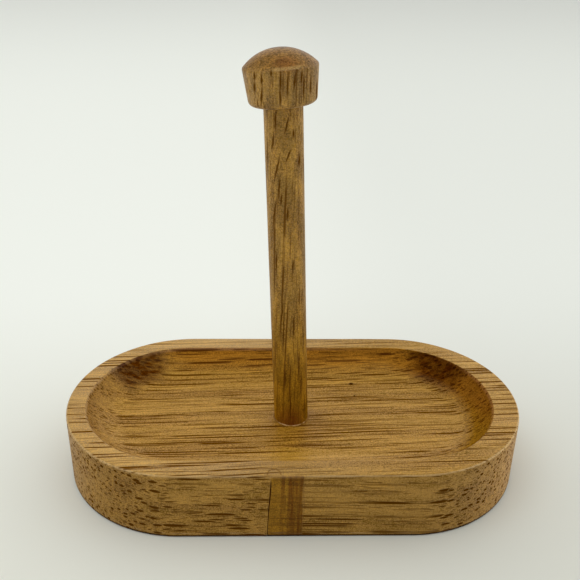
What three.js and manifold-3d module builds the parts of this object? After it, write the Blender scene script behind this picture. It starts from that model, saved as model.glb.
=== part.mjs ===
// Ring holder: an oblong hardwood tray with a routed dish, a dowel post glued into a blind
// socket in the dish, and a turned knob glued over the top of the post.
// Millimetres, +Z up. The origin is the centre of the tray's underside, +X runs along the tray
// and -Y is its front.

import * as THREE from "three";
import { mergeVertices } from "three/addons/utils/BufferGeometryUtils.js";
import Module from "manifold-3d";

// Tray: a planed board cut to an oblong with full round ends
const trayLength = 120;
const trayWidth = 63;
const trayHeight = 19;
const trayEdgeRound = 0.6;

// Dish: hollowed with a round cutter, so that a wide cove runs from the rim down to the floor
const rimWidth = 5.5; // from the tray's long sides to the dish's mouth
const rimEndWidth = 5.6; // from the tray's ends to the dish's mouth
const dishDepth = 5.8;
const coveRadius = 12.5;
const dishShift = -0.9; // the dish lies a little left of the tray's centre

// Post: a dowel in a blind socket, drilled a little out of square as the real one is
const postDiameter = 9;
const postShown = 85.6; // from the dish floor to the knob's foot
const postEndChamfer = 0.6;
const postShift = -0.6; // along the tray, from its centre
const postLean = THREE.MathUtils.degToRad(-2.1); // towards -X, about the foot
const socketFloor = 3; // wood left under the socket

// Knob: a turned cap with a tapered wall and a domed top, bored to go over the post
const knobRidgeDiameter = 17.1;
const knobFootDiameter = 15.4;
const knobWallHeight = 8.7;
const knobDomeHeight = 3.4;
const knobFootRound = 1.2;
const knobRidgeChamfer = 0.4;
const knobBoreDepth = 6.4;
const knobTilt = THREE.MathUtils.degToRad(-2.8); // the knob sits askew, to the left
const knobNod = THREE.MathUtils.degToRad(-3); // and backwards

// Glue: the joints' clearance all round, and the bead pressed out at the post's foot
const glueGap = 0.3;
const beadWidth = 0.4;
const beadHeight = 0.3;

// Fineness of the round stretches
const endSegments = 24;
const coveSegments = 8;
const edgeSegments = 3;
const turnSegments = 48;
const domeSegments = 10;

// Places that follow from the sizes
const postRadius = postDiameter / 2;
const boreRadius = postRadius + glueGap;
const floorHeight = trayHeight - dishDepth;
const socketDepth = floorHeight - socketFloor;

const wasm = await Module();
wasm.setup();

// Where the post stands: its foot on the dish floor, leaning about the front-to-back axis.
const postPlace = new THREE.Group();
postPlace.position.set(postShift, 0, floorHeight);
postPlace.rotation.y = postLean;
postPlace.updateMatrix();

// Where the knob sits: its foot at the top of the post's bare length, tilted on the bore.
const knobPlace = new THREE.Group();
knobPlace.position.set(0, 0, postShown);
knobPlace.rotation.set(knobNod, knobTilt, 0);

// A closed three.js geometry as a solid that can be joined and cut.
function solidOf(geometry) {
  const bare = geometry.clone();
  bare.deleteAttribute("normal");
  bare.deleteAttribute("uv");
  const merged = mergeVertices(bare, 1e-4);
  return new wasm.Manifold(
    new wasm.Mesh({
      numProp: 3,
      vertProperties: merged.attributes.position.array,
      triVerts: new Uint32Array(merged.index.array),
    }),
  );
}

// A solid back as a three.js geometry.
function geometryOf(solid) {
  const { vertProperties, triVerts } = solid.getMesh();
  const geometry = new THREE.BufferGeometry();
  geometry.setAttribute("position", new THREE.BufferAttribute(vertProperties, 3));
  geometry.setIndex(new THREE.BufferAttribute(triVerts, 1));
  geometry.computeVertexNormals();
  return geometry;
}

// An oblong outline with full round ends, centred on the origin.
function oblong(length, width) {
  const radius = width / 2;
  const reach = length / 2 - radius;
  return new THREE.Shape()
    .absarc(reach, 0, radius, -Math.PI / 2, Math.PI / 2)
    .absarc(-reach, 0, radius, Math.PI / 2, (3 * Math.PI) / 2);
}

// An oblong solid in level tiers, from its lowest to its highest. Each tier holds its height and
// how far its outline is drawn in.
function tiered(length, width, tiers) {
  const rings = tiers.map(([inset, height]) =>
    oblong(length - 2 * inset, width - 2 * inset)
      .getPoints(endSegments)
      .map((point) => [point.x, point.y, height]),
  );
  const count = rings[0].length;
  const top = (rings.length - 1) * count;
  const faces = [];
  for (let at = 0; at < top; at += count) {
    for (let i = 0; i < count; i += 1) {
      const here = at + i;
      const next = at + ((i + 1) % count);
      faces.push(here, next, next + count, here, next + count, here + count);
    }
  }
  for (let i = 1; i < count - 1; i += 1) {
    faces.push(0, i + 1, i, top, top + i, top + i + 1);
  }
  const geometry = new THREE.BufferGeometry();
  geometry.setAttribute("position", new THREE.Float32BufferAttribute(rings.flat(2), 3));
  geometry.setIndex(faces);
  return geometry;
}

// A profile of [radius, height] points, turned about Z.
function turned(profile) {
  const points = profile.map(([radius, height]) => new THREE.Vector2(radius, height));
  return new THREE.LatheGeometry(points, turnSegments).rotateX(Math.PI / 2);
}

// Points of an arc about a centre in the profile, its angles in radians.
function arc([radius, height], round, from, to, segments) {
  return Array.from({ length: segments + 1 }, (_, i) => {
    const angle = from + ((to - from) * i) / segments;
    return [radius + round * Math.cos(angle), height + round * Math.sin(angle)];
  });
}

// The hole that the post is glued into, about the post's own axis.
function postHole(low, high) {
  return turned([
    [0, low],
    [boreRadius, low],
    [boreRadius, high],
    [0, high],
  ]);
}

function trayGeometry() {
  const round = trayEdgeRound;
  const board = tiered(trayLength, trayWidth, [
    ...arc([round, round], round, -Math.PI / 2, -Math.PI, edgeSegments),
    ...arc([round, trayHeight - round], round, Math.PI, Math.PI / 2, edgeSegments),
  ]);
  const coveSweep = Math.acos(1 - dishDepth / coveRadius);
  const coveCentre = [coveRadius * Math.sin(coveSweep), floorHeight + coveRadius];
  const coveEnd = -Math.PI / 2 - coveSweep;
  const dish = tiered(trayLength - 2 * rimEndWidth, trayWidth - 2 * rimWidth, [
    ...arc(coveCentre, coveRadius, -Math.PI / 2, coveEnd, coveSegments),
    [0, trayHeight + dishDepth],
  ]);
  const socket = postHole(-socketDepth, dishDepth);
  return geometryOf(
    solidOf(board)
      .subtract(solidOf(dish.translate(dishShift, 0, 0)))
      .subtract(solidOf(socket.applyMatrix4(postPlace.matrix))),
  );
}

function postGeometry() {
  const low = glueGap - socketDepth;
  const high = postShown + knobBoreDepth - glueGap;
  return turned([
    [0, low],
    [postRadius - postEndChamfer, low],
    [postRadius, low + postEndChamfer],
    [postRadius, high - postEndChamfer],
    [postRadius - postEndChamfer, high],
    [0, high],
  ]);
}

function knobGeometry() {
  const foot = knobFootDiameter / 2;
  const ridge = knobRidgeDiameter / 2;
  const domeEdge = ridge - knobRidgeChamfer;
  const domeRadius = (domeEdge ** 2 + knobDomeHeight ** 2) / (2 * knobDomeHeight);
  const domeCentre = knobWallHeight + knobDomeHeight - domeRadius;
  const domeStart = Math.acos(domeEdge / domeRadius);
  const footRound = [foot - knobFootRound, knobFootRound];
  const body = turned([
    [0, 0],
    ...arc(footRound, knobFootRound, -Math.PI / 2, 0, edgeSegments),
    [ridge, knobWallHeight - knobRidgeChamfer],
    ...arc([0, domeCentre], domeRadius, domeStart, Math.PI / 2, domeSegments),
  ]);
  // The bore follows the post, so it is turned back against the knob's own turn
  const turnBack = new THREE.Matrix4().makeRotationFromEuler(knobPlace.rotation).invert();
  const bore = postHole(-knobWallHeight, knobBoreDepth).applyMatrix4(turnBack);
  return geometryOf(solidOf(body).subtract(solidOf(bore)));
}

function beadGeometry() {
  const outer = boreRadius + beadWidth;
  const crest = boreRadius + beadWidth / 2;
  return turned([
    [boreRadius, 0],
    [outer, 0],
    ...arc([crest, beadHeight / 2], beadHeight / 2, 0, Math.PI, edgeSegments),
    [boreRadius, 0],
  ]);
}

function wood(name, color, roughness) {
  return new THREE.MeshStandardMaterial({ name, color, roughness, metalness: 0 });
}

function piece(name, geometry, material) {
  const mesh = new THREE.Mesh(geometry, material);
  mesh.name = name;
  return mesh;
}

const driedGlue = new THREE.MeshStandardMaterial({
  name: "dried_glue",
  color: 0xcfae7a,
  roughness: 0.25,
  metalness: 0,
});

const bead = piece("glue_bead", beadGeometry(), driedGlue);
bead.position.set(postShift, 0, floorHeight);

knobPlace.add(piece("knob", knobGeometry(), wood("knob_wood", 0x91703d, 0.55)));
postPlace.add(piece("post", postGeometry(), wood("post_wood", 0x8d6a35, 0.5)), knobPlace);

const ringHolder = new THREE.Group();
ringHolder.name = "ring_holder";
ringHolder.add(
  piece("tray", trayGeometry(), wood("tray_wood", 0xa97f47, 0.55)),
  bead,
  postPlace,
);

export default ringHolder;
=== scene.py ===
"""Ring holder: an oblong oiled-wood tray with a routed dish, a dowel post and a turned knob.

Laid out as a Blender add-on and run as a script. Metres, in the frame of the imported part.
"""

import math

import bmesh
import bpy
from bpy.props import FloatProperty, FloatVectorProperty, PointerProperty
from mathutils import Matrix, Vector


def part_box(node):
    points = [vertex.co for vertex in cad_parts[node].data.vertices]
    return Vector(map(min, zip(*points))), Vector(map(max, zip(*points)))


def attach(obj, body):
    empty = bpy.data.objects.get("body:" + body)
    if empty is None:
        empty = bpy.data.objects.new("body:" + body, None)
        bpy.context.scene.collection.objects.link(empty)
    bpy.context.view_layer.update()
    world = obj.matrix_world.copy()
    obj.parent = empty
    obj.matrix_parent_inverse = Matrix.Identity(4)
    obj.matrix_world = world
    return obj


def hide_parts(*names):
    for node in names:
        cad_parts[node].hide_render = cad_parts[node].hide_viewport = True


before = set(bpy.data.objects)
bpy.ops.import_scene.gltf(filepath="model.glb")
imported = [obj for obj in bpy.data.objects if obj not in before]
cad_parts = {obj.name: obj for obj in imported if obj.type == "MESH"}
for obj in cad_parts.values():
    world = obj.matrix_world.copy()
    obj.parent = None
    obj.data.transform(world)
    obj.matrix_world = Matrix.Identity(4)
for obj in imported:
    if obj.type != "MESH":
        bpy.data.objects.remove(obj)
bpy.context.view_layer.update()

bl_info = {
    "name": "Ring Holder",
    "version": (1, 0, 0),
    "blender": (4, 5, 0),
    "location": "View3D > Sidebar > Ring Holder",
    "description": "Makes a wooden ring holder, its materials and a soft studio round it",
    "category": "Object",
}

MM = 0.001

# What the frame gives
TRAY_LOW, TRAY_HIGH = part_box("tray")
POST_LOW, POST_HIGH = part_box("post")
KNOB_LOW, KNOB_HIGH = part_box("knob")
BEAD_LOW, BEAD_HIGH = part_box("glue_bead")
FLOOR_HEIGHT = BEAD_LOW.z
POST_FOOT = Vector(((BEAD_LOW.x + BEAD_HIGH.x) / 2, (BEAD_LOW.y + BEAD_HIGH.y) / 2, FLOOR_HEIGHT))

# Fineness of the swept meshes
CORE = 0.2 * MM  # radius of the path that a section is swept along
STEP = 1.0 * MM  # longest stretch between points of a section or of a straight run
WELD = 0.02 * MM
ROD_SEGMENTS = 96
SHARP_ANGLE = math.radians(40)
# Rubbed edges are worn and also carry a painted highlight
RUBBED_AND_LIT_REACH = (0.22 * MM, 0.5 * MM)  # how far a rubbed edge is worn fully, and at all


def number_property(name, description, default, **options):
    return FloatProperty(name=name, description=description, default=default, **options)


def length_property(name, description, default):
    return number_property(name, description, default, precision=5, unit="LENGTH")


def angle_property(name, description, degrees):
    return number_property(name, description, math.radians(degrees), subtype="ANGLE")


def colour_property(name, description, default):
    return FloatVectorProperty(
        name=name, description=description, default=default, subtype="COLOR", min=0, max=1
    )


class TraySizes(bpy.types.PropertyGroup):
    """Sizes of the oblong tray and its routed dish."""

    length: length_property("Length", "Over the round ends", TRAY_HIGH.x - TRAY_LOW.x)
    width: length_property("Width", "Front to back", TRAY_HIGH.y - TRAY_LOW.y)
    height: length_property("Height", "Thickness of the board", TRAY_HIGH.z)
    edge: length_property("Edge", "Rounding of the outer edges", 0.6 * MM)
    rim: length_property("Rim", "Rim along the sides, up to the dish's mouth", 5.6 * MM)
    end_rim: length_property("End Rim", "Rim at the ends, up to the dish's mouth", 5.7 * MM)
    mouth: length_property("Mouth", "Easing of the rim's inner edge", 0.4 * MM)
    cove: length_property("Cove", "Radius between the dish's mouth and its floor", 12.5 * MM)
    dish_shift: length_property("Dish Shift", "Dish off the tray's centre", -0.9 * MM)
    socket_gap: length_property("Socket Gap", "Glue gap round the post", 0.3 * MM)
    socket_floor: length_property("Socket Floor", "Wood left under the socket", 3 * MM)
    unevenness: length_property("Unevenness", "Hand-sanded waviness", 0.12 * MM)


class PostSizes(bpy.types.PropertyGroup):
    """Sizes of the dowel post."""

    diameter: length_property("Diameter", "Of the dowel", POST_HIGH.y - POST_LOW.y)
    shown: length_property("Shown Length", "From the dish floor to the knob", 85.6 * MM)
    in_socket: length_property("In Socket", "Length glued into the tray", 9.9 * MM)
    in_knob: length_property("In Knob", "Length glued into the knob", 6.1 * MM)
    chamfer: length_property("End Chamfer", "Rounding of the dowel's ends", 0.6 * MM)
    lean: angle_property("Lean", "Out of plumb, about the front-to-back axis", -2.1)


class KnobSizes(bpy.types.PropertyGroup):
    """Sizes of the turned knob."""

    ridge: length_property("Ridge Diameter", "At the widest turn", KNOB_HIGH.y - KNOB_LOW.y)
    foot: length_property("Foot Diameter", "At the knob's underside", 15.4 * MM)
    wall: length_property("Wall Height", "From the foot to the ridge", 8.7 * MM)
    dome: length_property("Dome Height", "From the ridge to the top", 3.4 * MM)
    foot_round: length_property("Foot Round", "Rounding of the lower edge", 1.3 * MM)
    ridge_round: length_property("Ridge Round", "Rounding of the ridge", 0.8 * MM)
    ridge_step: length_property("Ridge Step", "Chamfer between wall and dome", 0.4 * MM)
    bore: length_property("Bore Depth", "Blind bore for the post", 6.4 * MM)
    tilt: angle_property("Tilt", "Askew on the post, to the left", -2.8)
    nod: angle_property("Nod", "Askew on the post, backwards", -3.0)


class WoodColours(bpy.types.PropertyGroup):
    """Colours of the oiled wood and of the dried glue."""

    pale: colour_property("Pale", "Palest wood between the pores", (0.46, 0.236, 0.018))
    warm: colour_property("Warm", "Darker growth zones", (0.345, 0.166, 0.009))
    pore: colour_property("Pore", "Open pores and vessels", (0.125, 0.046, 0.003))
    # On faces that look against the fibre this darkening is partly painted shade
    end: colour_property("End Grain", "End grain, which drinks more oil", (0.23, 0.10, 0.006))
    knot: colour_property("Knot", "Tint of the spike knot in the front edge", (0.35, 0.21, 0.1))
    # Tint that darkens the dish's back corners
    dark_corner: colour_property("Scorch", "Tint where the cutter scorched the wood", (0.25, 0.138, 0.05))
    # Painted shade on the dish's coves that face forward and to the left
    cove_shade_tint: colour_property("Burnish", "Tint of the faces that the cutter rubbed", (0.9, 0.765, 1.0))
    # Tint of the right cove, which crosses the grain and faces away from the light: partly painted shade
    crossed: colour_property("Crossed", "Tint where the cutter ran across the grain", (0.92, 0.91, 0.88))
    # Painted shade round the post's foot, on the dish floor and low on the post
    oiled: colour_property("Oiled", "Tint round the post's foot", (0.85, 0.8, 0.68))
    # Painted shade on the front and back walls
    wall_shade: colour_property("Sawn", "Tint of the front and back walls", (0.72, 0.71, 0.77))
    # Paints the worn edges with a highlight as well, the sheen on the rim and the light on the right end
    # wall
    rubbed: colour_property("Rubbed", "Edges rubbed pale", (0.7, 0.5, 0.26))
    # Paints the shade line along the tray's lower edge, and fills the small holes
    dirt_and_shade: colour_property("Dirt", "Dirt along the lower edge and in small holes", (0.03, 0.011, 0.003))
    # Also paints the shade and the dish's reddish light at the post's foot
    stain: colour_property("Stain", "Reddish stains of old oil, in the crack too", (0.2, 0.044, 0.008))
    glue: colour_property("Glue", "Bead of dried glue", (0.6, 0.36, 0.16))


class StageSettings(bpy.types.PropertyGroup):
    """Floor, light and camera."""

    floor: colour_property("Floor", "Pale floor behind the tray", (0.97, 1.0, 0.95))
    # The floor's tones are painted light: darker in front of the tray and far behind it
    near_floor: colour_property("Near Floor", "Pale floor in front of the tray", (0.835, 0.845, 0.77))
    far_floor: colour_property("Far Floor", "Pale floor far behind the tray", (0.80, 0.82, 0.78))
    backdrop: colour_property("Backdrop", "What the camera sees beyond the floor", (0.82, 0.84, 0.81))
    fill: number_property("Fill", "Strength of the light from all round", 0.815)
    back: number_property("Back", "How much more fill comes from behind", 0.4)
    right: number_property("Right", "How much more fill comes from the right", 0.15)
    sides: number_property("Sides", "How much more fill comes from both sides", 0.45)
    sheen: number_property("Sheen", "How bright the backdrop shows in reflections", 1.0)
    key: number_property("Key", "Power of the large soft lamp", 3.2, unit="POWER")


class RingHolderSettings(bpy.types.PropertyGroup):
    """All that a user would change."""

    tray: PointerProperty(type=TraySizes)
    post: PointerProperty(type=PostSizes)
    knob: PointerProperty(type=KnobSizes)
    colours: PointerProperty(type=WoodColours)
    stage: PointerProperty(type=StageSettings)


# Node trees


def fill(socket, value):
    """Links a socket to a socket, or sets a plain value."""
    if isinstance(value, bpy.types.NodeSocket):
        socket.id_data.links.new(value, socket)
    else:
        socket.default_value = value


def source(tree, kind, inputs=None, **settings):
    """Adds a node to a tree, with its settings and inputs, which are named or counted."""
    node = tree.nodes.new(kind)
    for name, value in settings.items():
        setattr(node, name, value)
    for key, value in (inputs or {}).items():
        fill(node.inputs[key], value)
    return node


def add(kind, inputs, **settings):
    """Adds a node to the tree that a socket among its inputs lies in."""
    sockets = (value for value in inputs.values() if isinstance(value, bpy.types.NodeSocket))
    return source(next(sockets).id_data, kind, inputs, **settings)


def made(kind, inputs, **settings):
    """The first result of an added node."""
    return add(kind, inputs, **settings).outputs[0]


def maths(operation, *values, clamp=False):
    """A Math node's result."""
    return made("ShaderNodeMath", dict(enumerate(values)), operation=operation, use_clamp=clamp)


def times(*values):
    """Values multiplied together."""
    result = values[0]
    for value in values[1:]:
        result = maths("MULTIPLY", result, value)
    return result


def most(*values):
    """The greatest of some values."""
    result = values[0]
    for value in values[1:]:
        result = maths("MAXIMUM", result, value)
    return result


def linear(value, slope, start):
    """A value times a slope, added to a start."""
    return maths("MULTIPLY_ADD", value, slope, start)


def less(value, factor, share):
    """A value made less, by a share of it where the factor is 1."""
    return times(value, linear(factor, -share, 1.0))


def vectors(operation, *values):
    """A Vector Math node's result, a number where the operation gives one."""
    node = add("ShaderNodeVectorMath", dict(enumerate(values)), operation=operation)
    return node.outputs["Value" if operation in ("DOT_PRODUCT", "LENGTH", "DISTANCE") else "Vector"]


def sized(vector, scale):
    """A vector times a number."""
    return made("ShaderNodeVectorMath", {0: vector, "Scale": scale}, operation="SCALE")


def split(vector):
    """The three parts of a vector."""
    return add("ShaderNodeSeparateXYZ", {0: vector}).outputs


def joined(x, y):
    """A vector from its first two parts, the third nought."""
    return made("ShaderNodeCombineXYZ", {0: x, 1: y})


def ramp(value, low, high, to_low=0.0, to_high=1.0):
    """A value carried smoothly from one range to another, and held at its ends."""
    inputs = {0: value, 1: low, 2: high, 3: to_low, 4: to_high}
    return made("ShaderNodeMapRange", inputs, interpolation_type="SMOOTHSTEP")


def blend(factor, first, second, mode="MIX"):
    """Two colours mixed by a factor."""
    inputs = {0: factor, 6: first, 7: second}
    return add("ShaderNodeMix", inputs, data_type="RGBA", blend_type=mode).outputs[2]


def tinted(factor, colour, tint):
    """A colour multiplied by a tint."""
    return blend(factor, colour, (*tint, 1), "MULTIPLY")


def painted(factor, colour, paint):
    """A colour covered by another."""
    return blend(factor, colour, (*paint, 1))


def noise(vector, detail=2.0, roughness=0.5, output=0):
    """A Noise Texture's value at scale 1, or its colour."""
    inputs = {"Vector": vector, "Scale": 1.0, "Detail": detail, "Roughness": roughness}
    return add("ShaderNodeTexNoise", inputs).outputs[output]


# Swept pieces


def field(tree, name):
    """What each point of a mesh or curve has of its own."""
    return source(tree, f"GeometryNodeInput{name}").outputs[0]


def subdivide(tree, curve, step):
    """Cuts each stretch of a curve that is longer than a step."""
    index = field(tree, "Index")
    size = add("GeometryNodeAttributeDomainSize", {"Geometry": curve}, component="CURVE")
    after = maths("MODULO", maths("ADD", index, 1.0), size.outputs["Point Count"])
    here = field(tree, "Position")
    inputs = {"Index": after, "Value": here}
    there = made("GeometryNodeFieldAtIndex", inputs, data_type="FLOAT_VECTOR", domain="POINT")
    cuts = maths("FLOOR", maths("DIVIDE", vectors("DISTANCE", here, there), step))
    return made("GeometryNodeSubdivideCurve", {"Curve": curve, "Cuts": cuts})


def filleted(curve, count, radius):
    """A curve with its corners rounded."""
    inputs = {"Curve": curve, "Count": count, "Radius": radius, "Limit Radius": True}
    return made("GeometryNodeFilletCurve", inputs, mode="POLY")


def oblong_path(tree, straight, segments):
    """A thin oblong path with full round ends, or a small circle where the run is nought."""
    length = maths("ADD", straight, 2 * CORE)
    square = made("GeometryNodeCurvePrimitiveQuadrilateral", {"Width": length, "Height": 2 * CORE})
    wire = made("GeometryNodeCurveToMesh", {"Curve": filleted(square, segments, CORE)})
    welded = made("GeometryNodeMergeByDistance", {"Geometry": wire, "Distance": CORE / 1000})
    return subdivide(tree, made("GeometryNodeMeshToCurve", {"Mesh": welded}), STEP)


def section_place(corner):
    """A corner's radius, height and round as a place in the section's plane, and the round."""
    radius, height, rounding = split(corner)
    outwards = maths("SUBTRACT", radius, CORE)
    upwards = times(height, -1.0)  # the path's frame points downwards
    return joined(outwards, upwards), rounding


def store(geometry, name, value):
    """Keeps a number with each point."""
    inputs = {"Geometry": geometry, "Name": name, "Value": value}
    return made("GeometryNodeStoreNamedAttribute", inputs, data_type="FLOAT", domain="POINT")


def section_curve(tree, corners, rubbed, dish_from, segments):
    """The section as a curve with rounded corners. Each corner holds radius, height and round."""
    line = source(tree, "GeometryNodeMeshLine", {"Count": len(corners)}, mode="OFFSET")
    index = field(tree, "Index")
    switch = add("GeometryNodeIndexSwitch", {"Index": index}, data_type="VECTOR")
    for _ in corners[2:]:
        switch.index_switch_items.new()
    for socket, corner in zip(switch.inputs[1:], corners):
        fill(socket, corner)
    place, rounding = section_place(switch.outputs[0])
    in_dish = maths("GREATER_THAN", index, dish_from - 0.5)
    placed = store(line.outputs[0], "round", rounding)
    placed = store(placed, "dish", in_dish)
    placed = made("GeometryNodeSetPosition", {"Geometry": placed, "Position": place})
    curve = made("GeometryNodeMeshToCurve", {"Mesh": placed})
    rounds = source(tree, "GeometryNodeInputNamedAttribute", {"Name": "round"}, data_type="FLOAT")
    fine = subdivide(tree, filleted(curve, segments, rounds.outputs[0]), STEP)
    here = field(tree, "Position")
    # Points near the rubbed corners are marked for wear and a painted highlight
    worn_and_lit = 0.0
    for corner in rubbed:
        gap = vectors("DISTANCE", here, section_place(corner)[0])
        worn_and_lit = most(worn_and_lit, ramp(gap, *RUBBED_AND_LIT_REACH, 1.0, 0.0))
    return store(fine, "rubbed", worn_and_lit)


def sweep_tree(name, corner_names, rubbed_and_lit_names, dish_from):
    """A section with rounded corners, swept round an oblong path and made a little uneven."""
    tree = bpy.data.node_groups.new(name, "GeometryNodeTree")
    face = tree.interface
    face.new_socket("Geometry", in_out="OUTPUT", socket_type="NodeSocketGeometry")
    for kind, labels in (
        ("Float", ("Straight Run", "Dish Shift", "Dish Stretch", "Unevenness", "Unevenness Scale")),
        ("Int", ("Turn Segments", "Round Segments")),
        ("Material", ("Material",)),
        ("Vector", corner_names),
    ):
        for label in labels:
            face.new_socket(label, in_out="INPUT", socket_type=f"NodeSocket{kind}")
    given = source(tree, "NodeGroupInput").outputs
    path = oblong_path(tree, given["Straight Run"], given["Turn Segments"])
    corners = [given[corner] for corner in corner_names]
    rubbed = [given[corner] for corner in rubbed_and_lit_names]
    section = section_curve(tree, corners, rubbed, dish_from, given["Round Segments"])
    swept = made("GeometryNodeCurveToMesh", {"Curve": path, "Profile Curve": section})
    welded = made("GeometryNodeMergeByDistance", {"Geometry": swept, "Distance": WELD})

    # The dish lies off the tray's centre and is a little longer between its round ends
    here = field(tree, "Position")
    along, _, height = split(here)
    half_run = most(maths("DIVIDE", given["Straight Run"], 2.0), CORE)
    side = maths("DIVIDE", along, half_run)
    side = most(maths("MINIMUM", side, 1.0), -1.0)
    move = linear(side, given["Dish Stretch"], given["Dish Shift"])
    dish = source(tree, "GeometryNodeInputNamedAttribute", {"Name": "dish"}, data_type="FLOAT")
    offset = joined(times(move, dish.outputs[0]), 0.0)
    shifted = made("GeometryNodeSetPosition", {"Geometry": welded, "Offset": offset})

    # Hand sanding leaves the surface wavy, but the underside stands flat
    spot = sized(here, given["Unevenness Scale"])
    wave = maths("SUBTRACT", noise(spot, 1.0), 0.5)
    swing = times(wave, given["Unevenness"], ramp(height, 0.0, MM))
    push = sized(field(tree, "Normal"), swing)
    uneven = made("GeometryNodeSetPosition", {"Geometry": shifted, "Offset": push})
    real = made("GeometryNodeRealizeInstances", {"Geometry": uneven})
    dressed = made("GeometryNodeSetMaterial", {"Geometry": real, "Material": given["Material"]})
    add("NodeGroupOutput", {0: dressed})
    return tree


def apply(piece, modifier):
    """Makes a modifier's result the piece's own mesh."""
    mesh = bpy.data.meshes.new_from_object(
        piece.evaluated_get(bpy.context.evaluated_depsgraph_get())
    )
    piece.modifiers.remove(modifier)
    piece.data = mesh
    mesh.name = piece.name


def link(name, mesh):
    """A mesh as an object in the scene."""
    item = bpy.data.objects.new(name, mesh)
    bpy.context.scene.collection.objects.link(item)
    return item


def sweep(name, corners, material, waves, segments, rubbed=(), dish_from=None, **lengths):
    """A piece swept from the corners of its section, as a plain mesh in an object of its own.

    Waves are the unevenness and its scale. Segments are those of a round end and of a corner.
    """
    names = list(corners)
    first = names.index(dish_from) if dish_from else len(names)
    tree = sweep_tree(f"{name}_sweep", names, rubbed, first)
    given = {**corners, "Material": material}
    given["Unevenness"], given["Unevenness Scale"] = waves
    given["Turn Segments"], given["Round Segments"] = segments
    for length, value in lengths.items():
        given[length.replace("_", " ").title()] = value
    piece = link(name, bpy.data.meshes.new(name))
    modifier = piece.modifiers.new(tree.name, "NODES")
    modifier.node_group = tree
    for item in tree.interface.items_tree:
        if item.in_out == "INPUT" and item.name in given:
            modifier[item.identifier] = given[item.name]
    apply(piece, modifier)
    return piece


def tidy(piece, matrix=None):
    """Turns the faces outwards, smooths them up to the sharp edges and puts the mesh in place."""
    mesh = piece.data
    if matrix is not None:
        mesh.transform(matrix)
    work = bmesh.new()
    work.from_mesh(mesh)
    bmesh.ops.dissolve_degenerate(work, dist=WELD / 10, edges=work.edges)
    bmesh.ops.recalc_face_normals(work, faces=work.faces)
    work.to_mesh(mesh)
    work.free()
    mesh.shade_smooth()
    mesh.set_sharp_from_angle(angle=SHARP_ANGLE)


def cut(piece, tool):
    """Cuts one piece out of another and removes the tool."""
    modifier = piece.modifiers.new("cut", "BOOLEAN")
    modifier.operation = "DIFFERENCE"
    modifier.solver = "EXACT"
    modifier.object = tool
    apply(piece, modifier)
    bpy.data.objects.remove(tool)


def tool_from(work, name):
    """A cutting tool from a working mesh, which is freed."""
    mesh = bpy.data.meshes.new(name)
    work.to_mesh(mesh)
    work.free()
    return link(name, mesh)


def rod(name, radius, low, high, matrix):
    """A plain round bar as a cutting tool."""
    work = bmesh.new()
    bmesh.ops.create_cone(
        work,
        cap_ends=True,
        segments=ROD_SEGMENTS,
        radius1=radius,
        radius2=radius,
        depth=high - low,
        matrix=matrix @ Matrix.Translation((0, 0, (low + high) / 2)),
    )
    return tool_from(work, name)


def wedge(name, stations, front, back):
    """A thin upright wedge as a cutting tool, in millimetres, its thin edge at the back.

    Each station holds height, place along X and width.
    """
    work = bmesh.new()
    rings = []
    for z, x, width in stations:
        corners = ((x - width / 2, front), (x + width / 2, front), (x, back))
        rings.append([work.verts.new((a * MM, b * MM, z * MM)) for a, b in corners])
    for low, high in zip(rings, rings[1:]):
        for i in range(3):
            work.faces.new((low[i], low[(i + 1) % 3], high[(i + 1) % 3], high[i]))
    work.faces.new(rings[0])
    work.faces.new(rings[-1])
    bmesh.ops.recalc_face_normals(work, faces=work.faces)
    return tool_from(work, name)


def settle(piece, node):
    """A finished piece rides on the part's one body and stands for its node."""
    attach(piece, "root")
    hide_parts(node)


# Wood

# How the fibre lies: its turn, its shift, how far it sways sideways and up, and where it points
TRAY_TURN = (0, math.radians(-1.2), math.radians(-3))
TRAY_SHIFT = (11, 4, 2)
TRAY_SWAY = (1.3, 0.45)
TRAY_FIBRE = (1, 0.06, -0.02)
UPRIGHT_TURN = (0, math.radians(88.5), math.radians(1))
UPRIGHT_SWAY = (1.5, 1.5)
UPRIGHT_FIBRE = (0, 0, 1)
POST_SHIFT = (3, 7, 5)
KNOB_SHIFT = (40, 2, 9)

# Growth zones along and across the fibre, the spacing and least and most radius of the vessels,
# and the strength of the grit
TRAY_ZONE = (70, 3.5)
TRAY_VESSELS = (0.95, 0.15, 0.4)
TRAY_GRIT = 2.8
UPRIGHT_ZONE = (9, 2)
UPRIGHT_VESSELS = (1.3, 0.1, 0.26)
UPRIGHT_GRIT = 2.7
FINE_VESSELS = (0.5, 0.07, 0.14)
VESSEL_HEIGHT = 1.25  # how tall a vessel's section is for its width
VESSEL_REACH = 15  # the length over which a vessel comes and goes
FINE_REACH = 18

# Sizes of other marks along and across the fibre, in millimetres
SWAY_SIZE = (52, 17)
STREAK_SIZE = (14, 0.3)
SPECK_SIZE = (1.4, 0.28)
GRIT_SIZE = (0.35, 0.3)
DARK_CORNER_SIZE = (4, 1.5)

# Scales of the marks that differ in all three directions, in marks to a millimetre
RAY_SCALE = (3.5, 1.5, 0.3)
LINE_SCALE = (0.05, 1.4, 0.35)
KNOT_SCALE = (2.2, 2.2, 0.1)
PATCH_SCALE = (0.4, 0.4, 0.16)
CLOUD_SCALE = (1.6, 2.2, 2.2)

BASE_SHADE = -0.22  # shade of the wood before its layers are added
LEAST_SHADE = 0.3
PORE_INK = 0.95  # how far the pores take their own colour


def millimetres(tree):
    """Object coordinates in millimetres."""
    coords = source(tree, "ShaderNodeTexCoord").outputs["Object"]
    return sized(coords, 1 / MM)


def turned(place, turn, shift):
    """Fibre space: X runs along the fibre."""
    return made("ShaderNodeMapping", {"Vector": place, "Location": shift, "Rotation": turn})


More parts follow.
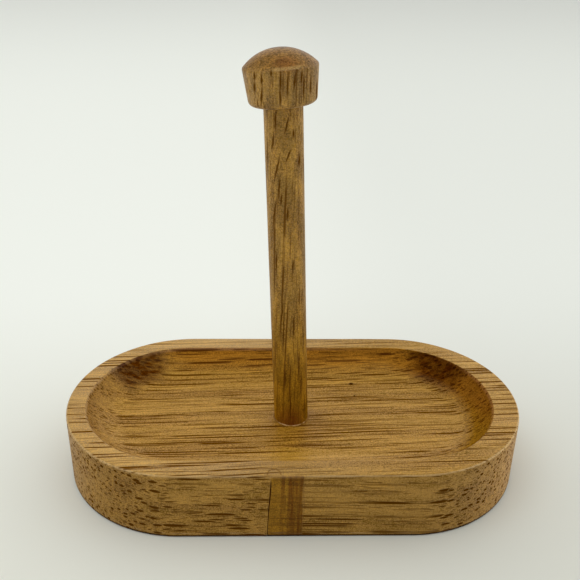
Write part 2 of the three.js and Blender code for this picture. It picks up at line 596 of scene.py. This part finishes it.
def stretched(fibre, along, across):
    """Fibre space drawn out, so that one unit is so many millimetres along and across."""
    return vectors("MULTIPLY", fibre, (1 / along, 1 / across, 1 / across))


def band(value, low, high, soft):
    """1 between low and high and 0 outside, with soft edges."""
    rise = ramp(value, low - soft, low + soft)
    return times(rise, ramp(value, high - soft, high + soft, 1, 0))


def swayed(fibre, sway):
    """Fibre that wanders slowly sideways and up and down."""
    drift = noise(stretched(fibre, *SWAY_SIZE), 1, output="Color")
    drift = vectors("SUBTRACT", drift, (0.5, 0.5, 0.5))
    return vectors("ADD", fibre, vectors("MULTIPLY", drift, (0, *sway)))


def vessels(fibre, spacing, thin, thick, reach):
    """Flat tubes along the fibre, which come and go along it: 1 inside a tube and 0 outside."""
    along, sideways, upwards = split(fibre)
    across = joined(sideways, maths("DIVIDE", upwards, VESSEL_HEIGHT))
    inputs = {"Vector": across, "Scale": 1 / spacing, "Randomness": 1}
    cells = add("ShaderNodeTexVoronoi", inputs, voronoi_dimensions="2D")
    chance = add("ShaderNodeSeparateColor", {0: cells.outputs["Color"]}).outputs
    size = linear(chance[0], (thick - thin) / spacing, thin / spacing)
    tube = ramp(maths("DIVIDE", cells.outputs["Distance"], size), 0.7, 1.1, 1, 0)
    offset = linear(chance[1], 40, maths("DIVIDE", along, reach))
    come = noise(joined(offset, chance[2]), 1)
    return times(tube, ramp(come, 0.34, 0.51, 0.1, 1))


def wood_grain(tree, fibre, direction, bare, colours, zone_size, vessel_sizes, grit_strength):
    """Colour between the pores, the pores themselves, the fine streaks and how matt the wood is."""
    zone = noise(stretched(fibre, *zone_size), 3)
    colour = blend(ramp(zone, 0.36, 0.7), (*colours.pale, 1), (*colours.warm, 1))

    # Fibres cut across drink more oil, the more so where they look against the fibre, which is partly
    # painted shade, as more light comes from where the fibre points
    normal = source(tree, "ShaderNodeNewGeometry").outputs["Normal"]
    facing = vectors("DOT_PRODUCT", normal, direction)
    against_and_shaded = ramp(facing, -0.65, -0.08, 0.75, 0)
    crossed = most(against_and_shaded, ramp(facing, 0.2, 0.85, 0, 0.5))
    end = times(crossed, linear(bare, 0.7, 0.3))
    matt = times(crossed, linear(bare, 0.5, 0.5))
    colour = painted(end, colour, colours.end)

    # Light and dark between the pores, from long streaks down to grit
    streak = noise(stretched(fibre, *STREAK_SIZE))
    rays = noise(vectors("MULTIPLY", fibre, RAY_SCALE), 1)
    speck = noise(stretched(fibre, *SPECK_SIZE), 2, 0.7)
    grit = noise(stretched(fibre, *GRIT_SIZE), 2, 0.8)
    grit = times(maths("SUBTRACT", grit, 0.5), ramp(zone, 0.35, 0.65, 0.6, 1.2))
    lines = noise(vectors("MULTIPLY", fibre, LINE_SCALE))
    shade = BASE_SHADE
    layers = ((streak, 0.4), (rays, 0.3), (speck, 0.9), (grit, grit_strength), (lines, 0.9))
    for layer, weight in layers:
        shade = linear(layer, weight, shade)
    shade = most(shade, LEAST_SHADE)
    colour = blend(1, colour, shade, "MULTIPLY")
    matt = most(matt, ramp(shade, 0.6, 1.1, 0.9, 0))

    # Wide vessels crowd in the darker zones, and fine ones show less in the end grain
    wide = vessels(fibre, *vessel_sizes, VESSEL_REACH)
    wide = times(wide, ramp(zone, 0.36, 0.52, 0.4, 1.15))
    fine = vessels(fibre, *FINE_VESSELS, FINE_REACH)
    fine = times(fine, linear(end, -0.35, 0.8))
    return colour, most(wide, fine), streak, matt


def dress(tree, inputs):
    """Gives the material's shader its inputs."""
    shader = tree.nodes["Principled BSDF"]
    for name, value in inputs.items():
        fill(shader.inputs[name], value)


def wood_finish(tree, colours, colour, pores, streak, matt, wear_and_light, tint):
    """Pores sunk into the surface and edges rubbed pale, worn and given a painted highlight, under a
    thin oil finish.
    """
    worn_and_lit = source(tree, "ShaderNodeAttribute", attribute_name="rubbed").outputs["Fac"]
    worn_and_lit = times(worn_and_lit, ramp(streak, 0.35, 0.65, 0.5, 1))
    colour = painted(times(worn_and_lit, wear_and_light), colour, colours.rubbed)
    pores = less(pores, worn_and_lit, 0.6)
    colour = painted(times(pores, PORE_INK), colour, colours.pore)
    matt = most(matt, pores)
    height = linear(streak, 0.2, times(pores, -1))
    bump = made("ShaderNodeBump", {"Strength": 0.4, "Distance": 0.1 * MM, "Height": height})
    dress(
        tree,
        {
            "Base Color": blend(1, colour, tint, "MULTIPLY"),
            "Normal": bump,
            "Roughness": linear(pores, 0.3, 0.45),
            "Specular IOR Level": linear(matt, -0.5, 0.5),
            "Sheen Weight": linear(matt, -0.08, 0.08),
            "Sheen Roughness": 0.4,
            "Sheen Tint": (1, 0.9, 0.9, 1),
        },
    )


def new_material(name):
    """A material and its node tree."""
    material = bpy.data.materials.new(name)
    material.use_nodes = True
    return material, material.node_tree


# Which way the darkened left corner of the dish faces; the right one mirrors it
DARK_CORNER_FACING = (0.62, -0.785, 0)
# Marks on the tray, in millimetres: where they lie and how wide they are
SPECKS = (((17.15, 15.4, 13.2), 0.5), ((17.6, 9.4, 13.2), 0.2), ((30.7, 23.4, 14.2), 0.3))
# Middle of the painted shade on the dish floor round the post's foot
FOOT_SHADE_CENTRE = (0.6, -4.5, 13.2)
KNOT_CENTRE = (-2.7, -31.5, 9.5)
KNOT_LEFT = -7.05  # at the underside; the knot leans to the right as it rises
KNOT_RIGHT = 1.5
KNOT_LEAN = 0.047
KNOT_STREAK = (-4.3, -3)  # between these it is darker
KNOT_HEART = -2.4  # from here to its right side it is darkest
KNOT_FACE = -31.2  # the knot shows in front of this
ARCH_CENTRE = (-5.45, -31, 19)
ARCH_REACH = (1.6, 2, 9)
# The crack along the knot's left side, from the underside up: height, place along X and width
CRACK = (
    (-0.5, -7.06, 0.24),
    (5.5, -6.8, 0.3),
    (9.7, -6.6, 0.44),
    (12, -6.4, 0.5),
    (15.8, -6.2, 0.42),
    (18.2, -6.17, 0.08),
)
CRACK_FRONT = -31.9
CRACK_BACK = -30.6

# Tints of parts of the tray, besides those among the settings
FARTHER_TINT = (0.98, 0.98, 0.98)
# Painted light on the right end wall
RIGHT_END_LIGHT_TINT = (1.18, 1.12, 1)
SOILED_TINT = (0.89, 0.89, 0.9)
LEFT_TINT = (1.12, 1.12, 1.05)
# Painted sheen on the rim's right end and along its back
RIGHT_SHEEN_TINT = (1.08, 1.08, 1)
BACK_SHEEN_TINT = (1.07, 1.09, 1.13)
# Shares of the rubbed colour that paint light on the right end wall and sheen on the right end of the
# rim, and sheen on the polished rim
PAINTED_LIGHT_SHARE = 0.12  # how far a faded face takes the rubbed colour
POLISH_SHEEN_SHARE = 0.2  # and how far the polished rim does


def knot_marks(place, colour, pores, colours):
    """Spike knot across the front edge, its grain upright, with a crack and an arch on the rim."""
    x, y, z = split(place)
    upright = noise(vectors("MULTIPLY", place, KNOT_SCALE), 3)
    slant = ramp(x, KNOT_LEFT + 1, 0, KNOT_LEAN, 0)
    lean = maths("SUBTRACT", x, times(z, slant))
    across = linear(upright, 1.2, maths("SUBTRACT", lean, 0.6))
    front = ramp(y, KNOT_FACE - 0.2, KNOT_FACE + 0.2, 1, 0)
    whole = band(across, KNOT_LEFT, KNOT_RIGHT, 0.3)
    streak = times(band(across, *KNOT_STREAK, 0.3), ramp(z, 2, 14, 0.6, 1))
    heart = times(band(across, KNOT_HEART, KNOT_RIGHT, 0.35), 0.95)
    dark = most(times(whole, 0.35), streak, heart)
    dark = times(dark, ramp(upright, 0.3, 0.7, 0.95, 0.55), front)
    colour = tinted(dark, colour, colours.knot)
    inside = times(whole, front)
    pores = less(pores, inside, 0.6)

    crack = times(
        band(lean, KNOT_LEFT - 0.6, KNOT_LEFT + 0.6, 0.1),
        band(y, KNOT_FACE - 0.12, KNOT_FACE + 1, 0.04),
        ramp(z, 18.2, 18.4, 1, 0),
    )
    colour = painted(crack, colour, colours.stain)
    matt = most(dark, crack, times(inside, 0.85))

    offset = vectors("DIVIDE", vectors("SUBTRACT", place, ARCH_CENTRE), ARCH_REACH)
    out = vectors("LENGTH", offset)
    on_rim = ramp(z, 18.4, 18.8)
    arch = times(band(out, 0.9, 1.1, 0.12), ramp(y, -31.3, -30.9, 0, 0.65))
    pores = most(pores, times(arch, on_rim))
    stain = times(ramp(out, 0.6, 1.1, 0.3, 0), on_rim)
    return painted(stain, colour, colours.end), pores, matt


def tray_wood(colours):
    material, tree = new_material("tray_wood")
    place = millimetres(tree)
    along, across, height = split(place)
    normal = source(tree, "ShaderNodeNewGeometry").outputs["Normal"]
    face_x, face_y, face_z = split(normal)
    dish = source(tree, "ShaderNodeAttribute", attribute_name="dish").outputs["Fac"]
    inside = times(ramp(dish, 0.6, 0.95), ramp(face_z, 0.3, 0.5))

    # The grain runs round the knot
    near = ramp(vectors("DISTANCE", place, KNOT_CENTRE), 4, 16, -0.5, 0)
    fibre = vectors("ADD", place, joined(0, near))
    fibre = swayed(turned(fibre, TRAY_TURN, TRAY_SHIFT), TRAY_SWAY)
    colour, pores, streak, matt = wood_grain(
        tree, fibre, TRAY_FIBRE, dish, colours, TRAY_ZONE, TRAY_VESSELS, TRAY_GRIT
    )

    # The dish's back corners are painted darker, in patches
    aside = joined(maths("ABSOLUTE", face_x), face_y)
    corner = vectors("DOT_PRODUCT", vectors("NORMALIZE", aside), DARK_CORNER_FACING)
    dark_corner = times(
        ramp(corner, 0.91, 0.995, 0, 1.15),
        inside,
        ramp(vectors("LENGTH", aside), 0.05, 0.6),
        ramp(face_x, -0.2, 0.2, 0.88, 1),
    )
    patch = noise(stretched(fibre, *DARK_CORNER_SIZE))
    dark_corner = maths("MULTIPLY", dark_corner, ramp(patch, 0.3, 0.7, 1, 0.6), clamp=True)

    # The back and right coves of the dish face away from the light and get painted shade; the right cove
    # also crosses the grain
    cove_shade = ramp(maths("ADD", face_x, face_y), -0.75, -0.25, 1, 0)
    cove_shade = times(cove_shade, inside)
    crossed = times(ramp(face_x, -0.5, -0.1, 1, 0), inside)

    # The front and back walls get painted shade, the right end wall painted light and the floor round
    # the post's foot painted shade, and the upper faces are a shade darker to the right
    wall_shade = ramp(maths("ABSOLUTE", face_y), 0.6, 0.95)
    wall_shade = times(wall_shade, ramp(along, -10, 30, 0.8, 1))
    right_end_light = times(ramp(face_x, 0.3, 0.9), ramp(dish, 0, 0.1, 1, 0))
    foot = ramp(vectors("DISTANCE", place, FOOT_SHADE_CENTRE), 4.5, 11, 1, 0)
    farther = times(ramp(along, -10, 40), ramp(face_z, 0.3, 0.6))

    # Hands have polished the rim at the left, where the wood is paler too, and soiled it in the middle;
    # the polished part, the right end and the back of the rim get a painted sheen
    rim = ramp(height, 18, 18.9)
    polish_and_sheen = times(rim, ramp(along, -20, 30, 1, 0))
    soil = times(rim, band(along, -12, 42, 12))
    left = times(rim, ramp(along, -50, -10, 1, 0))
    right = times(rim, ramp(along, 38, 54))
    behind = times(rim, ramp(across, 19, 26))
    tint = (1, 1, 1, 1)
    for factor, shade in (
        (cove_shade, colours.cove_shade_tint),
        (crossed, colours.crossed),
        (dark_corner, colours.dark_corner),
        (foot, colours.oiled),
        (wall_shade, colours.wall_shade),
        (farther, FARTHER_TINT),
        (right_end_light, RIGHT_END_LIGHT_TINT),
        (soil, SOILED_TINT),
        (left, LEFT_TINT),
        (right, RIGHT_SHEEN_TINT),
        (behind, BACK_SHEEN_TINT),
    ):
        tint = tinted(factor, tint, shade)

    # A painted highlight and a painted shade line along the lower edge, and dark specks
    low_edge_highlight = times(band(height, 1, 1.5, 0.25), ramp(streak, 0.45, 0.6, 0, 0.25))
    edge_shade_and_specks = times(ramp(height, 0.55, 1, 0.97, 0), ramp(face_z, -0.95, -0.8))
    for centre, radius in SPECKS:
        gap = vectors("DISTANCE", place, centre)
        edge_shade_and_specks = most(edge_shade_and_specks, ramp(gap, radius * 0.9, radius * 1.7, 1, 0))
    colour, pores, knot = knot_marks(place, colour, pores, colours)
    for factor, paint in (
        (low_edge_highlight, colours.rubbed),
        (edge_shade_and_specks, colours.dirt_and_shade),
        (times(right_end_light, PAINTED_LIGHT_SHARE), colours.rubbed),
        (times(right, PAINTED_LIGHT_SHARE), colours.rubbed),
        (times(polish_and_sheen, POLISH_SHEEN_SHARE), colours.rubbed),
    ):
        colour = painted(factor, colour, paint)
    matt = most(matt, dark_corner, cove_shade, crossed, knot, edge_shade_and_specks)
    matt = maths("SUBTRACT", matt, times(polish_and_sheen, 0.5))

    # Pores show less in the left cove and on the back rim, and the top edge's wear and painted highlight
    # grow to the right and are weaker at the knot
    pores = less(pores, times(inside, ramp(face_x, 0.05, 0.3)), 0.3)
    pores = less(pores, behind, 0.4)
    beside = maths("ABSOLUTE", maths("ADD", along, 3))
    wear_and_light = ramp(along, 25, 48, 0.55, 0.78)
    wear_and_light = times(wear_and_light, ramp(beside, 4, 6.5, 0.25, 1))
    wood_finish(tree, colours, colour, pores, streak, matt, wear_and_light, tint)
    return material


# Dark streaks on the fronts of the post and knob, in millimetres: the place along X,
# the height, the length and the slant. The short ones are the broader.
POST_STREAKS = (
    (-5.5, 96, 4, 0), (-3, 95, 4, 0.25), (-1.5, 93, 2, 0), (-6, 91, 4, 0.1),
    (-2.5, 88, 3, 0.35), (0, 86.5, 3, 0), (-5, 85, 6, 0.2), (-4.5, 80, 6, 0.05),
    (-4, 77.5, 3, 0.05), (-2.5, 74, 3.5, 0.05), (-5.5, 73.5, 7.5, 0.1), (-5, 61, 6, 0),
    (-1, 60.5, 3, 0.05), (-3.5, 47.5, 7, 0.05), (-0.5, 43.5, 6, 0), (-3, 43, 14, 0),
    (1, 32, 8, 0), (-2.5, 28.5, 5, 0), (-1, 19, 10, 0),
)
KNOB_STREAKS = (
    (-10, 106, 2, 0), (-10, 103.5, 2.5, 0), (-8.5, 105.5, 2.5, 0), (-8.5, 102, 5, 0.05),
    (-6.5, 107, 1.5, 0), (-4.5, 105.5, 5, 0), (-4.5, 102, 4, 0), (-3, 104.5, 5, 0),
    (-1.5, 105.5, 4, 0.1), (0, 106, 3, 0), (0.5, 104, 6, 0), (2, 104, 4, 0),
    (3.5, 102, 5, 0),
)
STREAK_WIDTH = 0.26  # half the width of a streak, before it narrows
STREAK_NARROWING = 0.008  # less of it for each millimetre of length
STREAK_WANDER = 0.4  # how far its sides wander
# Reddish marks, each with the middle, the reach along each axis and the strength: painted shade and the
# dish's reddish light at the post's foot, and a stain of old oil on the knob's dome
POST_FOOT_SHADE = (((-0.9, -3, 13), (5, 6, 9), 1),)
KNOB_STAINS = (((-3.2, -6.4, 108.8), (4, 3.5, 3), 0.55),)
# Grey over the post and knob: dust, and a painted sheen that pales the wood
DUST_AND_SHEEN = (0.3, 0.3, 0.3)
POST_DUST_AND_SHEEN = 0.08  # how far the dust covers the wood
KNOB_DUST_AND_SHEEN = 0.13
UPRIGHT_TINT = (0.96, 0.96, 0.96)
STREAK_TINT = (0.8, 0.77, 0.62)
DOME_TINT = (1, 0.92, 0.6)


def streaks(place, marks):
    """1 inside a streak on the front and 0 outside."""
    ragged = vectors("MULTIPLY", noise(place, output="Color"), (STREAK_WANDER, 0, 0))
    x, y, z = split(vectors("ADD", place, ragged))
    mask = 0
    for along, height, length, slant in marks:
        width = STREAK_WIDTH - STREAK_NARROWING * length
        rise = maths("SUBTRACT", z, height)
        aside = linear(rise, -slant, maths("SUBTRACT", x, along + STREAK_WANDER / 2))
        gap = vectors("DIVIDE", joined(aside, rise), (width, length / 2, 1))
        mask = most(mask, ramp(vectors("LENGTH", gap), 0.35, 1.55, 0.97, 0))
    return times(mask, ramp(y, -1.5, 0.5, 1, 0))


def upright_wood(name, shift, colours, marks, stains, dust_and_sheen):
    material, tree = new_material(name)
    place = millimetres(tree)
    along, _, height = split(place)
    fibre = swayed(turned(place, UPRIGHT_TURN, shift), UPRIGHT_SWAY)
    up = split(source(tree, "ShaderNodeNewGeometry").outputs["Normal"])[2]
    top = ramp(up, 0.1, 0.5)
    colour, pores, streak, matt = wood_grain(
        tree, fibre, UPRIGHT_FIBRE, top, colours, UPRIGHT_ZONE, UPRIGHT_VESSELS, UPRIGHT_GRIT
    )

    # Dust and a painted sheen grey all but the foot. Broad patches have drunk more oil, and the foot
    # gets painted shade and the dish's reddish light
    colour = painted(ramp(height, 25, 60, 0, dust_and_sheen), colour, DUST_AND_SHEEN)
    patch = noise(vectors("MULTIPLY", place, PATCH_SCALE))
    colour = blend(1, colour, ramp(patch, 0.35, 0.65, 0.74, 1.06), "MULTIPLY")
    colour = tinted(ramp(height, 20, 50, 1, 0), colour, colours.oiled)

    # End grain is mottled, and its pores are filled with sanding dust
    pores = times(pores, ramp(up, 0.5, 0.8, 0.75, 0.12))
    cloud = noise(vectors("MULTIPLY", place, CLOUD_SCALE), 3, 0.8)
    mottle = linear(cloud, 3.2, -0.66)
    matt = most(matt, ramp(mottle, 0.6, 1.1, 0.9, 0))
    mottled = blend(1, colour, mottle, "MULTIPLY")
    colour = blend(ramp(up, 0.4, 0.7, 0.35, 1), colour, mottled)
    # The post's mark paints shade and the dish's reddish light at its foot; the knob's is a stain of old
    # oil
    for middle, reach, strength in stains:
        gap = vectors("DIVIDE", vectors("SUBTRACT", place, middle), reach)
        spot = ramp(vectors("LENGTH", gap), 0.2, 1, strength, 0)
        matt = most(matt, spot)
        spot = times(spot, ramp(cloud, 0.3, 0.7, 0.35, 1))
        colour = painted(spot, colour, colours.stain)
    dark = streaks(place, marks)
    tint = blend(dark, (*UPRIGHT_TINT, 1), (*STREAK_TINT, 1))
    # Upward faces are tinted yellower, taking back the grey and the sky's blue reflection there
    tint = tinted(ramp(up, 0.5, 0.8), tint, DOME_TINT)
    matt = most(matt, ramp(height, 16, 50, 1, 0.3))
    # The dome edge's wear and painted highlight are strongest just left of the middle
    wear_and_light = linear(band(along, -6, 0, 1.2), 0.5, 0.05)
    wood_finish(tree, colours, colour, most(pores, dark), streak, matt, wear_and_light, tint)
    return material


def dried_glue(colours):
    material, tree = new_material("dried_glue")
    place = millimetres(tree)
    _, y, height = split(place)
    low = FLOOR_HEIGHT / MM
    # The bead's foot is painted dark, a painted shade line, and above it the glue shows its pale colour
    # in patches, mostly at the front
    pale_glue = times(
        ramp(height, low + 0.05, low + 0.2),
        ramp(noise(place), 0.3, 0.7),
        ramp(y, -4, -2, 1, 0.2),
    )
    colour = painted(pale_glue, (*colours.end, 1), colours.glue)
    dress(tree, {"Base Color": colour, "Roughness": 0.4, "Specular IOR Level": 0.1})
    return material


# Pieces

# Unevenness and its scale, for the tray the scale alone, and segments of a round end and a corner
TRAY_WAVES = 70.0
TRAY_SEGMENTS = (44, 10)
POST_WAVES = (0.08 * MM, 90.0)
POST_SEGMENTS = (24, 4)
KNOB_WAVES = (0.1 * MM, 120.0)
KNOB_SEGMENTS = (32, 8)
GLUE_WAVES = (0.3 * MM, 330.0)
GLUE_SEGMENTS = (32, 3)

# The bead of glue stands this far off the post and the floor, and is so wide
GLUE_GAP = 0.02 * MM
GLUE_LIFT = 0.01 * MM
GLUE_WIDTH = 0.3 * MM
FULL_ROUND = 0.96  # share of an arc's radius that a corner takes, so that its ends stay apart


def post_matrix(post):
    """Where the post stands, from its own upright frame."""
    return Matrix.Translation(POST_FOOT) @ Matrix.Rotation(post.lean, 4, "Y")


class RINGHOLDER_OT_tray(bpy.types.Operator):
    """Make the tray with its coved dish and the post's socket"""

    bl_idname = "ring_holder.tray"
    bl_label = "Tray"

    def execute(self, context):
        settings = context.scene.ring_holder
        sizes = settings.tray
        post = settings.post
        half = sizes.width / 2
        mouth = half - sizes.rim
        dish_run = (sizes.length - 2 * sizes.end_rim) - 2 * mouth
        run = sizes.length - sizes.width
        # The cove's arc is a corner between the floor and its tangent at the mouth, rounded off
        depth = sizes.height - FLOOR_HEIGHT
        slope = math.acos(1 - depth / sizes.cove)
        corners = {
            "Underside Centre": (0, 0, 0),
            "Bottom Edge": (half, 0, sizes.edge),
            "Top Edge": (half, sizes.height, sizes.edge),
            "Mouth": (mouth, sizes.height, sizes.mouth),
            "Cove": (mouth - depth / math.tan(slope), FLOOR_HEIGHT, sizes.cove * FULL_ROUND),
            "Floor Centre": (0, FLOOR_HEIGHT, 0),
        }
        piece = sweep(
            "tray_board",
            corners,
            tray_wood(settings.colours),
            (sizes.unevenness, TRAY_WAVES),
            TRAY_SEGMENTS,
            rubbed=("Top Edge",),
            dish_from="Mouth",
            straight_run=run,
            dish_shift=sizes.dish_shift,
            dish_stretch=(dish_run - run) / 2,
        )
        tidy(piece)
        radius = post.diameter / 2 + sizes.socket_gap
        cut(piece, rod("socket", radius, sizes.socket_floor - FLOOR_HEIGHT, depth, post_matrix(post)))
        cut(piece, wedge("crack", CRACK, CRACK_FRONT, CRACK_BACK))
        tidy(piece)
        settle(piece, "tray")
        return {"FINISHED"}


class RINGHOLDER_OT_post(bpy.types.Operator):
    """Make the dowel post"""

    bl_idname = "ring_holder.post"
    bl_label = "Post"

    def execute(self, context):
        settings = context.scene.ring_holder
        sizes = settings.post
        radius = sizes.diameter / 2
        low = -sizes.in_socket
        high = sizes.shown + sizes.in_knob
        corners = {
            "Foot Centre": (0, low, 0),
            "Foot Edge": (radius, low, sizes.chamfer),
            "Head Edge": (radius, high, sizes.chamfer),
            "Head Centre": (0, high, 0),
        }
        material = upright_wood(
            "post_wood", POST_SHIFT, settings.colours, POST_STREAKS, POST_FOOT_SHADE, POST_DUST_AND_SHEEN
        )
        piece = sweep("post_dowel", corners, material, POST_WAVES, POST_SEGMENTS)
        tidy(piece, post_matrix(sizes))
        settle(piece, "post")
        return {"FINISHED"}


class RINGHOLDER_OT_knob(bpy.types.Operator):
    """Make the turned knob on the post's head"""

    bl_idname = "ring_holder.knob"
    bl_label = "Knob"

    def execute(self, context):
        settings = context.scene.ring_holder
        sizes = settings.knob
        post = settings.post
        gap = settings.tray.socket_gap
        ridge = sizes.ridge / 2
        edge = ridge - sizes.ridge_step
        top = sizes.wall + sizes.dome
        radius = (edge**2 + sizes.dome**2) / (2 * sizes.dome)
        spread = math.asin(edge / radius)
        corners = {
            "Foot Centre": (0, 0, 0),
            "Foot": (sizes.foot / 2, 0, sizes.foot_round),
            "Ridge": (ridge, sizes.wall - sizes.ridge_step, sizes.ridge_round),
            "Dome Edge": (edge, sizes.wall, sizes.ridge_round / 10),
            "Dome": (radius * math.tan(spread / 2), top, radius * FULL_ROUND),
            "Top": (0, top, 0),
        }
        material = upright_wood(
            "knob_wood", KNOB_SHIFT, settings.colours, KNOB_STREAKS, KNOB_STAINS, KNOB_DUST_AND_SHEEN
        )
        piece = sweep(
            "knob_cap", corners, material, KNOB_WAVES, KNOB_SEGMENTS, rubbed=("Dome Edge",)
        )
        head = post_matrix(post) @ Matrix.Translation((0, 0, post.shown))
        turn = Matrix.Rotation(sizes.nod, 4, "X") @ Matrix.Rotation(sizes.tilt, 4, "Y")
        tidy(piece, head @ turn)
        cut(piece, rod("bore", post.diameter / 2 + gap, -sizes.wall, sizes.bore, head))
        tidy(piece)
        settle(piece, "knob")
        return {"FINISHED"}


class RINGHOLDER_OT_glue(bpy.types.Operator):
    """Make the bead of dried glue at the post's foot"""

    bl_idname = "ring_holder.glue"
    bl_label = "Glue Bead"

    def execute(self, context):
        settings = context.scene.ring_holder
        radius = settings.post.diameter / 2 + GLUE_GAP
        outer = radius + GLUE_WIDTH
        low = FLOOR_HEIGHT + GLUE_LIFT
        crest = BEAD_HIGH.z
        corners = {
            "Inner Foot": (radius, low, 0),
            "Outer Foot": (outer, low, 0),
            "Crest": (radius + GLUE_WIDTH * 0.6, crest, GLUE_WIDTH * 0.2),
            "Inner Top": (radius, crest, 0),
            "Inner End": (radius, low, 0),
        }
        material = dried_glue(settings.colours)
        piece = sweep("glue_ring", corners, material, GLUE_WAVES, GLUE_SEGMENTS)
        tidy(piece, Matrix.Translation((POST_FOOT.x, POST_FOOT.y, 0)))
        settle(piece, "glue_bead")
        return {"FINISHED"}


# Stage

CAMERA_PLACE = Vector((-7.139, -179.370, 144.666)) * MM
CAMERA_PITCH = math.radians(27.368)
CAMERA_YAW = math.radians(1.806)
CAMERA_ROLL = math.radians(1.001)
CAMERA_FOCUS = 808.1  # focal length in pixels of the square frame
FRAME_SIDE = 580
SENSOR_WIDTH = 36
FLOOR_REACH = 3.0
LAMP_PLACE = Vector((-0.4, -0.45, 1.25))
LAMP_WIDTH = 1.1
LAMP_DEPTH = 0.8
FILL_LEVEL = 0.95  # light from all round, before it is graded
FILL_SINK = 0.25  # how much less of it comes from the front and back


class RINGHOLDER_OT_stage(bpy.types.Operator):
    """Make the floor, the light and the camera"""

    bl_idname = "ring_holder.stage"
    bl_label = "Stage"

    def execute(self, context):
        scene = context.scene
        settings = scene.ring_holder.stage
        scene.view_settings.view_transform = "Standard"
        self.floor(settings)
        self.world(scene, settings)
        self.lamp(scene, settings)
        self.camera(scene)
        return {"FINISHED"}

    def floor(self, settings):
        mesh = bpy.data.meshes.new("floor")
        signs = ((-1, -1), (1, -1), (1, 1), (-1, 1))
        corners = [(x * FLOOR_REACH, y * FLOOR_REACH, 0) for x, y in signs]
        mesh.from_pydata(corners, [], [(0, 1, 2, 3)])
        floor = link("floor", mesh)
        material, tree = new_material("floor")
        x, y, _ = split(millimetres(tree))
        # The floor is painted with the light's falloff: darker in front, far behind and to the right
        tone = painted(ramp(y, -60, 110), (*settings.near_floor, 1), settings.floor)
        tone = painted(ramp(y, 350, 1100), tone, settings.far_floor)
        dim = ramp(x, -30, 65, 0, 0.11)
        dim = times(dim, ramp(y, 0, 150, 1, 0.65))
        tone = painted(dim, tone, (0, 0, 0))
        dress(tree, {"Base Color": tone, "Roughness": 0.7, "Specular IOR Level": 0.2})
        mesh.materials.append(material)

    def world(self, scene, settings):
        world = bpy.data.worlds.new("studio")
        world.use_nodes = True
        scene.world = world
        tree = world.node_tree
        light = tree.nodes["Background"]
        light.inputs["Color"].default_value = (1, 1, 0.97, 1)
        across = source(tree, "ShaderNodeTexCoord").outputs["Generated"]
        right, behind, up = split(across)
        level = linear(behind, settings.back, FILL_LEVEL)
        level = linear(maths("ABSOLUTE", behind), -FILL_SINK, level)
        level = linear(right, settings.right, level)
        level = linear(times(right, right), settings.sides, level)
        fill(light.inputs["Strength"], times(level, settings.fill))

        # The camera sees the backdrop, and reflections show it bright behind and to the right
        shown = source(tree, "ShaderNodeBackground", {"Color": (*settings.backdrop, 1)})
        rays = source(tree, "ShaderNodeLightPath").outputs
        seen = most(rays["Is Camera Ray"], rays["Is Transmission Ray"])
        bright = ramp(linear(right, 0.8, behind), 0.38, 0.64, 0.02, settings.sheen)
        bright = times(bright, ramp(up, 0.45, 0.68, 1.5, 0.9))
        gloss = source(tree, "ShaderNodeBackground", {"Strength": bright})
        inputs = {0: rays["Is Glossy Ray"], 1: light.outputs[0], 2: gloss.outputs[0]}
        mirrored = made("ShaderNodeMixShader", inputs)
        mixed = made("ShaderNodeMixShader", {0: seen, 1: mirrored, 2: shown.outputs[0]})
        fill(tree.nodes["World Output"].inputs["Surface"], mixed)

    def lamp(self, scene, settings):
        data = bpy.data.lights.new("key", "AREA")
        data.shape = "RECTANGLE"
        data.size = LAMP_WIDTH
        data.size_y = LAMP_DEPTH
        data.energy = settings.key
        lamp = bpy.data.objects.new("key", data)
        lamp.location = LAMP_PLACE
        lamp.rotation_euler = (-LAMP_PLACE).to_track_quat("-Z", "Y").to_euler()
        lamp.visible_camera = False
        lamp.visible_glossy = False
        scene.collection.objects.link(lamp)

    def camera(self, scene):
        data = bpy.data.cameras.new("camera")
        data.sensor_width = SENSOR_WIDTH
        data.lens = data.sensor_width * CAMERA_FOCUS / FRAME_SIDE
        data.clip_start = 0.01
        data.clip_end = 20
        camera = bpy.data.objects.new("camera", data)
        camera.matrix_world = (
            Matrix.Translation(CAMERA_PLACE)
            @ Matrix.Rotation(-CAMERA_YAW, 4, "Z")
            @ Matrix.Rotation(math.pi / 2 - CAMERA_PITCH, 4, "X")
            @ Matrix.Rotation(CAMERA_ROLL, 4, "Z")
        )
        scene.collection.objects.link(camera)
        scene.camera = camera


class RINGHOLDER_PT_panel(bpy.types.Panel):
    """Sizes and makers of the ring holder"""

    bl_idname = "RINGHOLDER_PT_panel"
    bl_label = "Ring Holder"
    bl_space_type = "VIEW_3D"
    bl_region_type = "UI"
    bl_category = "Ring Holder"

    def draw(self, context):
        settings = context.scene.ring_holder
        for group in ("tray", "post", "knob", "colours", "stage"):
            box = self.layout.box()
            box.label(text=group.capitalize())
            part = getattr(settings, group)
            for name in part.__annotations__:
                box.prop(part, name)
        for maker in MAKERS:
            self.layout.operator(maker.bl_idname)


MAKERS = (
    RINGHOLDER_OT_tray,
    RINGHOLDER_OT_post,
    RINGHOLDER_OT_knob,
    RINGHOLDER_OT_glue,
    RINGHOLDER_OT_stage,
)
CLASSES = (
    TraySizes,
    PostSizes,
    KnobSizes,
    WoodColours,
    StageSettings,
    RingHolderSettings,
    *MAKERS,
    RINGHOLDER_PT_panel,
)


def register():
    for item in CLASSES:
        bpy.utils.register_class(item)
    bpy.types.Scene.ring_holder = PointerProperty(type=RingHolderSettings)


def unregister():
    del bpy.types.Scene.ring_holder
    for item in reversed(CLASSES):
        bpy.utils.unregister_class(item)


def main():
    register()
    bpy.ops.ring_holder.tray()
    bpy.ops.ring_holder.post()
    bpy.ops.ring_holder.knob()
    bpy.ops.ring_holder.glue()
    bpy.ops.ring_holder.stage()


if __name__ == "__main__":
    main()
